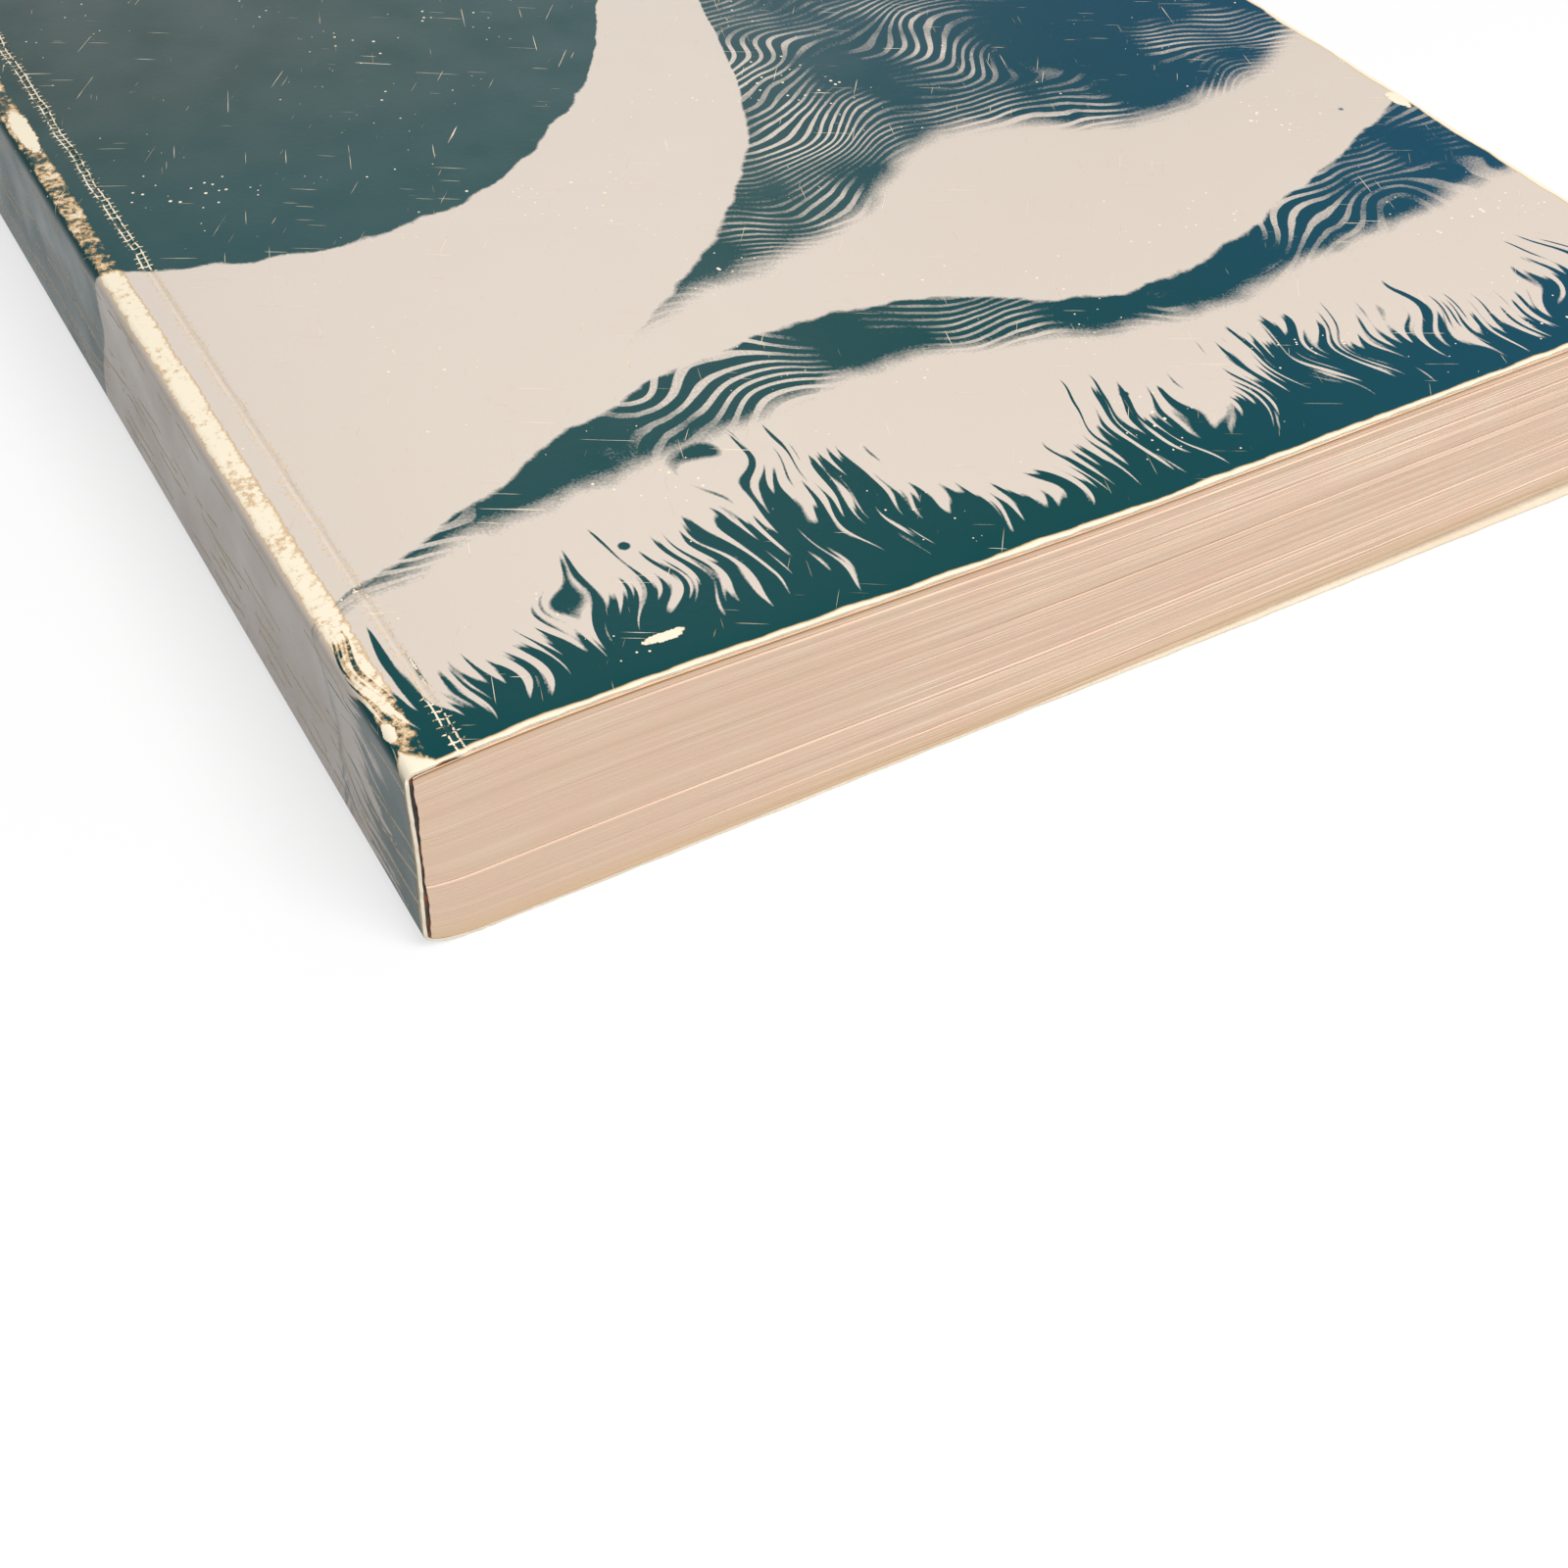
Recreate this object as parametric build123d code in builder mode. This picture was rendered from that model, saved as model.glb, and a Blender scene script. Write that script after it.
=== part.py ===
"""A square-backed, adhesive-bound paperback book, closed and lying on its back cover.

The cover is one sheet of card, scored a little way in from the spine. Between the two scores
it is glued round the back of the leaves; outside them it is free and opens like a flap.
The leaves have taken a slight curl towards the fore-edge, which lifts them off the back cover.

Frame: origin under the middle of the book, on the surface it lies on. +X runs from the spine
to the fore-edge, +Y from the tail (foot) to the head, +Z up. All sizes are in millimetres.
"""

import os
from math import radians, tan

from build123d import *

# Trimmed size. Cover and leaves were cut together, so they end flush on three sides.
width = 190.5  # spine to fore-edge, along X
height = 235.0  # tail to head, along Y
spine_height = 27.9  # table to the front edge of the spine, along Z

# Cover card
card = 0.40  # thickness of the card
edge_radius = 1.60  # outside radius of the two folds at the spine
hinge_score = 6.35  # scored fold line of each cover, from the spine
score_gap = 0.05  # width of the opened score between the glued strip and the free cover
strip_rise = 0.45  # rise of the glued front strip from the spine to its score
corner_wear = 1.2  # radius to which the free corners have worn

# Adhesive
spine_glue = 0.45  # on the backs of the leaves
side_glue = 0.25  # under the two glued strips
block_radius = 0.70  # rounding of the leaves at the two edges of the spine

# Lie of the front cover: distance from the spine, and rise above the front score
front_lie = [
    (22.0, 0.65),  # shoulder, where the leaves swell out of the binding
    (55.0, 0.35),
    (90.0, 0.00),  # sag over the middle
    (135.0, 0.75),
]
fore_edge_rise = 2.35  # at the fore-edge
fore_edge_slope = 0.055  # rise over run there

# Lift of the last leaves off the back cover
lift_start = 70.0  # where the underside turns up, from the spine
lift_angle = 1.5  # degrees
lift_radius = 1500.0  # of the turn between the flat and the lifted stretch

score_height = spine_height + strip_rise
section_plane = Plane(origin=(-width / 2, height / 2, 0), x_dir=(1, 0, 0), z_dir=(0, -1, 0))


def front_curve(start, drop):
    """The curve of the front cover from the distance start to the fore-edge, lowered by drop."""
    points = [(start, score_height - drop)]
    points += [(x, score_height + rise - drop) for x, rise in front_lie if start < x < width]
    points += [(width, score_height + fore_edge_rise - drop)]
    return Spline(points, tangents=[(hinge_score, strip_rise), (1, fore_edge_slope)])


def bound_outline(from_spine, from_side, radius):
    """The closed outline round the spine up to the scores, inset from the card's outer face."""
    back_score = (hinge_score, from_side)
    back_fold = (from_spine, from_side)
    front_fold = (from_spine, spine_height - from_side)
    front_score = (hinge_score, score_height - from_side)
    FilletPolyline(back_score, back_fold, front_fold, front_score, radius=radius)
    return Line(front_score, back_score)


os.makedirs("parts", exist_ok=True)

# The card round the spine, with the two glued strips
with BuildPart() as spine_cover:
    with BuildSketch(section_plane):
        with BuildLine():
            bound_outline(0, 0, edge_radius)
        make_face()
        with BuildLine():
            bound_outline(card, card, edge_radius - card)
        make_face(mode=Mode.SUBTRACT)
    extrude(amount=height)

# The adhesive between that card and the leaves
with BuildPart() as spine_adhesive:
    with BuildSketch(section_plane):
        with BuildLine():
            bound_outline(card, card, edge_radius - card)
        make_face()
        with BuildLine():
            bound_outline(card + spine_glue, card + side_glue, block_radius)
        make_face(mode=Mode.SUBTRACT)
    extrude(amount=height)

# The leaves, bound into one block
with BuildPart() as text_block:
    underside = card + side_glue
    lift = (width - lift_start) * tan(radians(lift_angle))
    fore_edge_foot = (width, underside + lift)
    with BuildSketch(section_plane):
        with BuildLine():
            bound_outline(card + spine_glue, card + side_glue, block_radius)
        make_face()
        with BuildLine():
            top = front_curve(hinge_score, card + side_glue)
            bottom = FilletPolyline(
                (hinge_score, underside),
                (lift_start, underside),
                fore_edge_foot,
                radius=lift_radius,
            )
            Line(top @ 1, bottom @ 1)
            Line(top @ 0, bottom @ 0)
        make_face()
    extrude(amount=height)

# The free part of the front cover
with BuildPart() as front_cover:
    with BuildSketch(section_plane):
        with BuildLine():
            outer = front_curve(hinge_score + score_gap, 0)
            inner = front_curve(hinge_score + score_gap, card)
            Line(outer @ 1, inner @ 1)
            Line(outer @ 0, inner @ 0)
        make_face()
    extrude(amount=height)
    fillet(front_cover.edges().filter_by(Axis.Z).group_by(Axis.X)[-1], radius=corner_wear)

# The free part of the back cover, flat on the table
with BuildPart() as back_cover:
    with BuildSketch(section_plane):
        with Locations((hinge_score + score_gap, 0)):
            Rectangle(width - hinge_score - score_gap, card, align=Align.MIN)
    extrude(amount=height)
    fillet(back_cover.edges().filter_by(Axis.Z).group_by(Axis.X)[-1], radius=corner_wear)

pieces = {
    "spine_cover": spine_cover,
    "spine_adhesive": spine_adhesive,
    "text_block": text_block,
    "front_cover": front_cover,
    "back_cover": back_cover,
}
for name, piece in pieces.items():
    piece.part.label = name
    export_step(piece.part, f"parts/{name}.step")

print("score height", score_height, "highest point", score_height + fore_edge_rise)
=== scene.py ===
"""A thick, well-worn paperback that lies closed on its back cover.

The cover is one sheet of laminated card. It is scored beside the spine, glued round the backs of the
leaves between its two scores, and free outside them. The leaves are one block with cut edges.

Frame: metres, origin under the middle of the book. +X runs from the spine to the fore-edge, +Y from
the tail to the head, +Z up. Sizes in the classes are millimetres from the spine, the tail and the
table. The printed sheet has coordinates of its own in a UV map, in millimetres: u runs across the
unfolded sheet from the front edge of the spine, negative over the spine and the back cover, and v
runs from the tail to the head.
"""

import logging
import math
from dataclasses import dataclass
from enum import Enum
from typing import Any, Callable, Sequence

import bpy
import numpy as np
from mathutils import Matrix, Vector


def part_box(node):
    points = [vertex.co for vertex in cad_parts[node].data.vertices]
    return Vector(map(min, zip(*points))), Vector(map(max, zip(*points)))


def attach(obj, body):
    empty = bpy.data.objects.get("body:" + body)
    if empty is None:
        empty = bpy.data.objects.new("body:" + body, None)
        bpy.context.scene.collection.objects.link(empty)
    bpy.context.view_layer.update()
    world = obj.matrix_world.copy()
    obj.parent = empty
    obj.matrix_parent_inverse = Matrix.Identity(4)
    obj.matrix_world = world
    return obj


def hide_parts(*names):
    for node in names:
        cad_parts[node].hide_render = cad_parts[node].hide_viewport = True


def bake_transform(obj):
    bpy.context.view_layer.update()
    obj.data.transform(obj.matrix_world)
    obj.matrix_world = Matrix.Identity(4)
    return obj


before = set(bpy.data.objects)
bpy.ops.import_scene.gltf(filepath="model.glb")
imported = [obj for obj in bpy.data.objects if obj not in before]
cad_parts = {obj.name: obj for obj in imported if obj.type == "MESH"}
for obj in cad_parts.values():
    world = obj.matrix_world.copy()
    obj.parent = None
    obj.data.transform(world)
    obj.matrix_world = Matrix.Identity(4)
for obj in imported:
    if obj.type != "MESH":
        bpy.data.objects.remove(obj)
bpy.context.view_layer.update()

MM = 0.001
SHEET_MAP = "sheet"  # millimetres on the unfolded cover
SHEET_FIRST, SHEET_LAST = -220.0, 200.0  # u from beyond the back's fore-edge to beyond the front's
LEAF_MAP = "leaf"  # millimetres along a leaf's edge, and the leaf's number counted from the table
SPINE_X, TAIL_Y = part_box("spine_cover")[0][:2]
WIDTH = (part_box("front_cover")[1].x - SPINE_X) / MM
HEIGHT = (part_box("front_cover")[1].y - TAIL_Y) / MM
HINGE = (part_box("spine_cover")[1].x - SPINE_X) / MM
SPINE_TOP = 27.9  # table to the front edge of the spine
STRIP_RISE = 0.45  # rise of the glued front strip from the spine to the hinge
CARD = 0.40  # thickness of the cover card
# Lie of the front cover: distance from the spine, and height above the table
FRONT_LIE = [
    (HINGE, SPINE_TOP + STRIP_RISE),
    (22, 29.0),  # shoulder, where the leaves swell out of the binding
    (55, 28.7),
    (90, 28.35),  # sag over the middle
    (135, 29.1),
    (WIDTH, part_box("front_cover")[1].z / MM),
]
log = logging.getLogger("paperback")

Curve = Callable[[np.ndarray], np.ndarray]


class Side(Enum):
    """The two parts of the cover, which part on the glued strip under the book."""

    FRONT = "cover_front"
    BACK = "cover_back"


def linear(code: str) -> tuple[float, float, float, float]:
    """Turn an sRGB hex colour into a linear colour.

    Args:
        code: Six hex digits, such as "e6d8c8".

    Returns:
        Red, green and blue as linear light, and an alpha of 1.
    """
    parts = [int(code[i : i + 2], 16) / 255 for i in (0, 2, 4)]
    red, green, blue = (c / 12.92 if c <= 0.04045 else ((c + 0.055) / 1.055) ** 2.4 for c in parts)
    return red, green, blue, 1.0


def wobble(values: np.ndarray, period: float, seed: int) -> np.ndarray:
    """Smooth uneven waves between about -1 and 1.

    Args:
        values: Where to read the waves, in millimetres.
        period: The longest wave, in millimetres.
        seed: Chooses one of many such waves.

    Returns:
        One value for each place.
    """
    phases = np.random.default_rng(seed).uniform(0, math.tau, 5)
    parts = [np.sin(math.tau * values * 1.7**k / period + phases[k]) / 1.35**k for k in range(5)]
    return sum(parts) / 2.2


def smooth_curve(points: Sequence[tuple[float, float]], first: float, last: float) -> Curve:
    """A smooth curve through points.

    Args:
        points: Places and heights, in order.
        first: Slope at the first point.
        last: Slope at the last point.

    Returns:
        A function that gives the height at each place.
    """
    xs, ys = np.array(points, float).T
    inner = (ys[2:] - ys[:-2]) / (xs[2:] - xs[:-2])
    slopes = np.concatenate([[first], inner, [last]])

    def height(x: np.ndarray) -> np.ndarray:
        """Read the curve.

        Args:
            x: The places.

        Returns:
            The height at each place.
        """
        i = np.clip(np.searchsorted(xs, x) - 1, 0, len(xs) - 2)
        span = xs[i + 1] - xs[i]
        t = np.clip((x - xs[i]) / span, 0, 1)
        keep = (2 * t**3 - 3 * t**2 + 1) * ys[i] + (t**3 - 2 * t**2 + t) * span * slopes[i]
        return keep + (3 * t**2 - 2 * t**3) * ys[i + 1] + (t**3 - t**2) * span * slopes[i + 1]

    return height


front_height = smooth_curve(FRONT_LIE, 0.07, 0.055)


class Nodes:
    """A material's node tree while it is put together."""

    def __init__(self, name: str) -> None:
        """Make an empty material with a Principled shader.

        Args:
            name: The material's name.
        """
        self.material = bpy.data.materials.new(name)
        self.material.use_nodes = True
        self.tree = self.material.node_tree
        self.shader = self.tree.nodes["Principled BSDF"]

    def add(
        self, kind: str, *inputs: Any, out: int = 0, named: dict[Any, Any] | None = None, **settings: Any
    ) -> Any:
        """Add one node with its settings and links.

        Args:
            kind: The node's type, without its ShaderNode prefix.
            *inputs: A value or a socket for each input in order, or None to leave it.
            out: Which output to return.
            named: Values or sockets for inputs by name or number.
            **settings: Properties of the node.

        Returns:
            The chosen output socket.
        """
        node = self.tree.nodes.new("ShaderNode" + kind)
        for name, value in settings.items():
            setattr(node, name, value)
        for key, value in [*enumerate(inputs), *(named or {}).items()]:
            if isinstance(value, bpy.types.NodeSocket):
                self.tree.links.new(value, node.inputs[key])
            elif value is not None:
                node.inputs[key].default_value = value
        return node.outputs[out]

    def finish(self, **sockets: Any) -> bpy.types.Material:
        """Set or link inputs of the Principled shader.

        Args:
            **sockets: A value or a socket for each input, by its name with _ for a space.

        Returns:
            The finished material.
        """
        for name, value in sockets.items():
            socket = self.shader.inputs[name.replace("_", " ")]
            if isinstance(value, bpy.types.NodeSocket):
                self.tree.links.new(value, socket)
            else:
                socket.default_value = value
        return self.material


def new_grid(name: str, columns: int, rows: int) -> bpy.types.Object:
    """Add a flat grid, two metres square.

    Args:
        name: The piece's name.
        columns: Faces along X.
        rows: Faces along Y.

    Returns:
        The new object, selected alone.
    """
    bpy.ops.object.select_all(action="DESELECT")
    bpy.ops.mesh.primitive_grid_add(x_subdivisions=columns, y_subdivisions=rows, size=2)
    piece = bpy.context.object
    piece.name = name
    piece.data.name = name
    return piece


def grid_places(piece: bpy.types.Object) -> tuple[np.ndarray, np.ndarray]:
    """Read where each vertex lies on a new grid.

    Args:
        piece: The grid, as it was added.

    Returns:
        Shares from 0 to 1 along X, and along Y.
    """
    co = np.empty(len(piece.data.vertices) * 3, np.float32)
    piece.data.vertices.foreach_get("co", co)
    flat = co.reshape(-1, 3).astype(float)
    return (flat[:, 0] + 1) / 2, (flat[:, 1] + 1) / 2


def place_vertices(piece: bpy.types.Object, x: np.ndarray, y: np.ndarray, z: np.ndarray) -> None:
    """Move every vertex of a piece to its place.

    Args:
        piece: The piece.
        x: Millimetres from the spine.
        y: Millimetres from the tail.
        z: Millimetres from the table.
    """
    co = np.stack([SPINE_X + x * MM, TAIL_Y + y * MM, z * MM], axis=1)
    piece.data.vertices.foreach_set("co", co.astype(np.float32).ravel())
    piece.data.update()


def write_map(piece: bpy.types.Object, name: str, u: np.ndarray, v: np.ndarray) -> None:
    """Keep two numbers of each vertex as the piece's only UV map.

    Args:
        piece: The piece.
        name: The map's name.
        u: The first number of each vertex.
        v: The second number of each vertex.
    """
    while piece.data.uv_layers:
        piece.data.uv_layers.remove(piece.data.uv_layers[0])
    layer = piece.data.uv_layers.new(name=name)
    corners = np.empty(len(piece.data.loops), np.int32)
    piece.data.loops.foreach_get("vertex_index", corners)
    layer.data.foreach_set("uv", np.stack([u, v], axis=1)[corners].astype(np.float32).ravel())


def apply_solidify(piece: bpy.types.Object, thickness: float, inner: int) -> None:
    """Give a sheet its thickness inwards and apply it.

    Args:
        piece: The sheet, with faces that point outwards.
        thickness: In millimetres.
        inner: The material slot of the inside and of the rim.
    """
    modifier = piece.modifiers.new("thickness", "SOLIDIFY")
    modifier.thickness = thickness * MM
    modifier.offset = -1
    modifier.material_offset = inner
    modifier.material_offset_rim = inner
    bpy.context.view_layer.objects.active = piece
    bpy.ops.object.modifier_apply(modifier=modifier.name)


# ---------------------------------------------------------------- finishes


# The drawn lines of the picture: points at u and v, and half the width of the change across the line
DUNE_LINES = [
    # the far crest against the sky
    ([(-220, 128), (-120, 150), (-28, 112), (0, 100), (35, 92), (72, 112), (105, 160), (128, 182),
      (150, 170), (200, 150)], 0.5),
    # top and foot of the far dune's shaded side
    ([(-220, 60), (-120, 96), (-60, 40), (20, 40), (62, 62), (92, 92), (122, 168), (130, 176),
      (160, 128), (200, 112)], 0.8),
    ([(-220, 50), (-120, 60), (-60, 40), (20, 42), (62, 61), (96, 70), (122, 84), (150, 74),
      (200, 92)], 4.0),
    # top and foot of the near dune's shaded side
    ([(-220, 30), (-90, 44), (-20, 22), (12, 30), (50, 46), (86, 50), (120, 38), (160, 48),
      (200, 66)], 0.6),
    ([(-220, 24), (-90, 30), (-20, 21), (12, 28), (50, 34), (86, 38), (120, 30), (160, 34),
      (200, 38)], 3.0),
]


@dataclass(frozen=True)
class Chip:
    """A rough oval where the film and the ink have come away, in millimetres on the sheet."""

    u: float
    v: float
    half_u: float
    half_v: float


CHIPS = [
    Chip(2.4, 140, 1.4, 7.5),  # beside the spine edge
    Chip(0.9, 6.4, 0.9, 1.7),
    Chip(1.5, 176, 1.0, 4.0),
    Chip(-1.0, 88, 0.7, 3.2),
    Chip(-18, 60, 0.5, 1.6),  # on the spine
    Chip(32, 5.4, 2.8, 0.8),  # at the tail
    Chip(189, 60, 1.3, 3.0),  # at the fore-edge
    Chip(186, 132, 3.5, 2.2),
]


@dataclass(frozen=True)
class PrintedLaminate:
    """Offset print on coated card under a gloss film, rubbed, creased and cracked by long use.

    The film gives a clear soft gloss, and where it has gone the card shows matt and cream. The colour also
    carries a painted sheen over the upper left of the front and a painted reflection towards the fore-edge.
    """

    dark_ink: str = "07474a"
    # painted sheen and painted reflection: the dark ink greyed where the gloss mirrors the room at the upper
    # left, and blued towards the fore-edge
    painted_sheen_grey: str = "2a4744"
    painted_reflection_blue: str = "0b4a63"
    light_ink: str = "e2d5c8"
    paper: str = "fff3da"
    stain: str = "d9b07a"
    gloss: float = 0.27
    matt: float = 0.75

    def build(self) -> bpy.types.Material:
        """Make the material.

        Returns:
            The finished material.
        """
        n = Nodes("laminated_print")
        sheet = n.add("UVMap", uv_map=SHEET_MAP)
        u = n.add("SeparateXYZ", sheet)
        v = u.node.outputs[1]
        ink = self.picture(n, sheet, u, v)
        bare_and_highlit = self.wear(n, sheet, u, v, ink)
        grain = n.add("TexNoise", named={"Vector": sheet, "Scale": 2.6, "Detail": 4.0})
        grain = n.add("MapRange", grain, 0.3, 0.7, -0.13, 0.13)
        ink = n.add("Math", ink, grain, operation="ADD", use_clamp=True)
        # Painted sheen: the dark ink turns grey over the upper left of the front cover, and a painted
        # reflection turns it blue towards the fore-edge.
        left = n.add("MapRange", u, 110.0, 20.0, interpolation_type="SMOOTHSTEP")
        high = n.add("MapRange", v, 95.0, 160.0, interpolation_type="SMOOTHSTEP")
        front = n.add("MapRange", u, -2.0, 6.0)
        sheen_share = n.add("Math", n.add("Math", left, high, operation="MULTIPLY"), front, operation="MULTIPLY")
        right = n.add("MapRange", u, 90.0, 190.0)
        dark = n.add("Mix", right, named={6: linear(self.dark_ink), 7: linear(self.painted_reflection_blue)}, out=2,
                     data_type="RGBA")
        dark = n.add("Mix", sheen_share, named={6: dark, 7: linear(self.painted_sheen_grey)}, out=2, data_type="RGBA")
        strength = n.add("MapRange", ink, 0.12, 0.85)
        printed_and_sheen = n.add("Mix", strength, named={6: linear(self.light_ink), 7: dark}, out=2,
                        data_type="RGBA")
        stained = n.add("MapRange", n.add("Math", bare_and_highlit, 0.5, operation="SUBTRACT"), 0.0, 0.22)
        worn_and_highlit = n.add("Mix", stained, named={6: linear(self.stain), 7: linear(self.paper)}, out=2,
                     data_type="RGBA")
        film_lost_and_highlit = n.add("MapRange", bare_and_highlit, 0.42, 0.55)
        colour = n.add("Mix", film_lost_and_highlit, named={6: printed_and_sheen, 7: worn_and_highlit}, out=2, data_type="RGBA")
        smear = n.add("TexNoise", named={"Vector": sheet, "Scale": 0.09, "Detail": 5.0})
        rough = n.add("MapRange", smear, 0.3, 0.7, self.gloss, self.gloss + 0.14)
        rough = n.add("Mix", film_lost_and_highlit, named={2: rough, 3: self.matt})
        fine = n.add("TexNoise", named={"Vector": sheet, "Scale": 1.1, "Detail": 6.0})
        height = n.add("Math", fine, n.add("Math", film_lost_and_highlit, -1.2, operation="MULTIPLY"), operation="ADD")
        bump = n.add("Bump", named={"Height": height, "Strength": 0.5, "Distance": 0.04 * MM})
        return n.finish(
            Base_Color=colour, Roughness=rough, Normal=bump, IOR=1.45, Specular_IOR_Level=0.3
        )

    def away(self, n: Nodes, value: Any, middle: Any) -> Any:
        """Measure how far a place is from a line.

        Args:
            n: The material's nodes.
            value: The place across the line.
            middle: Where the line is.

        Returns:
            The distance's socket, never negative.
        """
        offset = n.add("Math", value, middle, operation="SUBTRACT")
        return n.add("Math", offset, 0.0, operation="ABSOLUTE")

    def below(
        self, n: Nodes, across: Any, v: Any, points: Sequence[tuple[float, float]], soft: float
    ) -> Any:
        """A field that is 1 below a drawn line and 0 above it.

        Args:
            n: The material's nodes.
            across: u, as a share of the whole sheet.
            v: Height up the sheet, already made uneven.
            points: The line's u and v in millimetres.
            soft: Half the width of the change, in millimetres.

        Returns:
            The field's socket.
        """
        level = n.add("FloatCurve", 1.0, across)
        curve = level.node.mapping.curves[0]
        places = [((u - SHEET_FIRST) / (SHEET_LAST - SHEET_FIRST), w / HEIGHT) for u, w in points]
        for number, place in enumerate(places):
            if number < 2:
                curve.points[number].location = place
            else:
                curve.points.new(*place)
        level.node.mapping.update()
        line = n.add("Math", level, HEIGHT, operation="MULTIPLY")
        over = n.add("Math", v, line, operation="SUBTRACT")
        return n.add("MapRange", over, soft, -soft, interpolation_type="SMOOTHSTEP")

    def picture(self, n: Nodes, sheet: Any, u: Any, v: Any) -> Any:
        """Rippled dunes under a dark sky, with grass at the foot, in one ink.

        Args:
            n: The material's nodes.
            sheet: The sheet's coordinates.
            u: Across the sheet.
            v: Up the sheet.

        Returns:
            The strength of the ink, from 0 to 1.
        """
        across = n.add("MapRange", u, SHEET_FIRST, SHEET_LAST)
        rough = n.add("TexNoise", named={"Vector": sheet, "Scale": 0.12, "Detail": 8.0})
        uneven = n.add("MapRange", rough, 0.0, 1.0, -2.5, 2.5)
        edge = n.add("Math", v, uneven, operation="ADD")
        crest, slip_top, slip_foot, near_top, near_foot = (
            self.below(n, across, edge, points, soft) for points, soft in DUNE_LINES
        )
        bent = n.add("VectorMath", n.add("TexNoise", named={"Vector": sheet, "Scale": 0.02}, out=1),
                     (34.0, 60.0, 0.0), operation="MULTIPLY")
        flow = n.add("VectorMath", sheet, bent, operation="ADD")
        ripples = n.add("TexWave", named={"Vector": flow, "Scale": 0.17, "Distortion": 3.0, "Detail": 3.0,
                                          "Detail Scale": 0.6}, out=1, bands_direction="Y")
        lit = n.add("MapRange", ripples, 0.55, 0.8, interpolation_type="SMOOTHSTEP")
        patches = n.add("MapRange", n.add("TexNoise", named={"Vector": sheet, "Scale": 0.035, "Detail": 3.0}),
                        0.42, 0.6)
        lit = n.add("Math", lit, patches, operation="MULTIPLY")
        slip = n.add("Math", slip_top, slip_foot, operation="SUBTRACT", use_clamp=True)
        near = n.add("Math", near_top, near_foot, operation="SUBTRACT", use_clamp=True)
        shade = n.add("Math", slip, near, operation="MAXIMUM")
        unlit = n.add("Math", 1.0, n.add("Math", lit, 0.8, operation="MULTIPLY"), operation="SUBTRACT")
        shade = n.add("Math", shade, unlit, operation="MULTIPLY")
        sky = n.add("Math", 1.0, crest, operation="SUBTRACT")
        tall = n.add("VectorMath", sheet, (0.85, 0.075, 1.0), operation="MULTIPLY")
        swing = n.add("TexNoise", named={"Vector": sheet, "Scale": 0.05, "Detail": 1.0}, out=1)
        leaning = n.add("VectorMath", swing, (16.0, 0.0, 0.0), operation="MULTIPLY")
        leaning = n.add("VectorMath", tall, leaning, operation="ADD")
        blades = n.add("TexNoise", named={"Vector": leaning, "Scale": 1.0, "Detail": 1.0})
        tufts = n.add("TexNoise", named={"Vector": n.add("VectorMath", sheet, (1.0, 0.0, 0.0),
                      operation="MULTIPLY"), "Scale": 0.028, "Detail": 1.0})
        reach = n.add("MapRange", tufts, 0.35, 0.7, 8.0, 34.0)
        climb = n.add("Math", v, reach, operation="DIVIDE")
        grass = n.add("Math", blades, n.add("Math", climb, 0.42, operation="MULTIPLY"), operation="SUBTRACT")
        grass = n.add("MapRange", grass, 0.18, 0.25)
        specks = n.add("TexVoronoi", named={"Vector": sheet, "Scale": 0.055})
        dots = n.add("MapRange", specks, 0.05, 0.035)
        ink = n.add("Math", sky, shade, operation="MAXIMUM")
        ink = n.add("Math", ink, grass, operation="MAXIMUM")
        return n.add("Math", ink, dots, operation="MAXIMUM")

    def wear(self, n: Nodes, sheet: Any, u: Any, v: Any, ink: Any) -> Any:
        """Where the film and the ink have gone, and the painted highlight beside the upper fold.

        Args:
            n: The material's nodes.
            sheet: The sheet's coordinates.
            u: Across the sheet.
            v: Up the sheet.
            ink: The strength of the ink, because rubbing shows most on dark print.

        Returns:
            How far the surface is worn, with the painted highlight beside the upper fold: over about 0.5 it
            is bare.
        """
        scaly = n.add("TexNoise", named={"Vector": sheet, "Scale": 0.9, "Detail": 5.0, "Roughness": 0.7})
        worn_and_highlit = self.rubbed_edges(n, sheet, u, v, ink, scaly)
        for more in (
            self.opened_score(n, sheet, u, ink, scaly),
            self.spine_cracks(n, sheet, u, scaly),
            self.scratches(n, sheet),
        ):
            worn_and_highlit = n.add("Math", worn_and_highlit, more, operation="MAXIMUM")
        for chip in CHIPS:
            place = n.add("VectorMath", sheet, (chip.u, chip.v, 0.0), operation="SUBTRACT")
            size = (1 / chip.half_u, 1 / chip.half_v, 0.0)
            place = n.add("VectorMath", place, size, operation="MULTIPLY")
            reach = n.add("VectorMath", place, out=1, operation="LENGTH")
            ragged = n.add("Math", scaly, 1.4, operation="MULTIPLY")
            reach = n.add("Math", reach, ragged, operation="ADD")
            oval = n.add("MapRange", reach, 1.75, 1.45, 0.0, 0.9)
            worn_and_highlit = n.add("Math", worn_and_highlit, oval, operation="MAXIMUM")
        return worn_and_highlit

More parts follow.
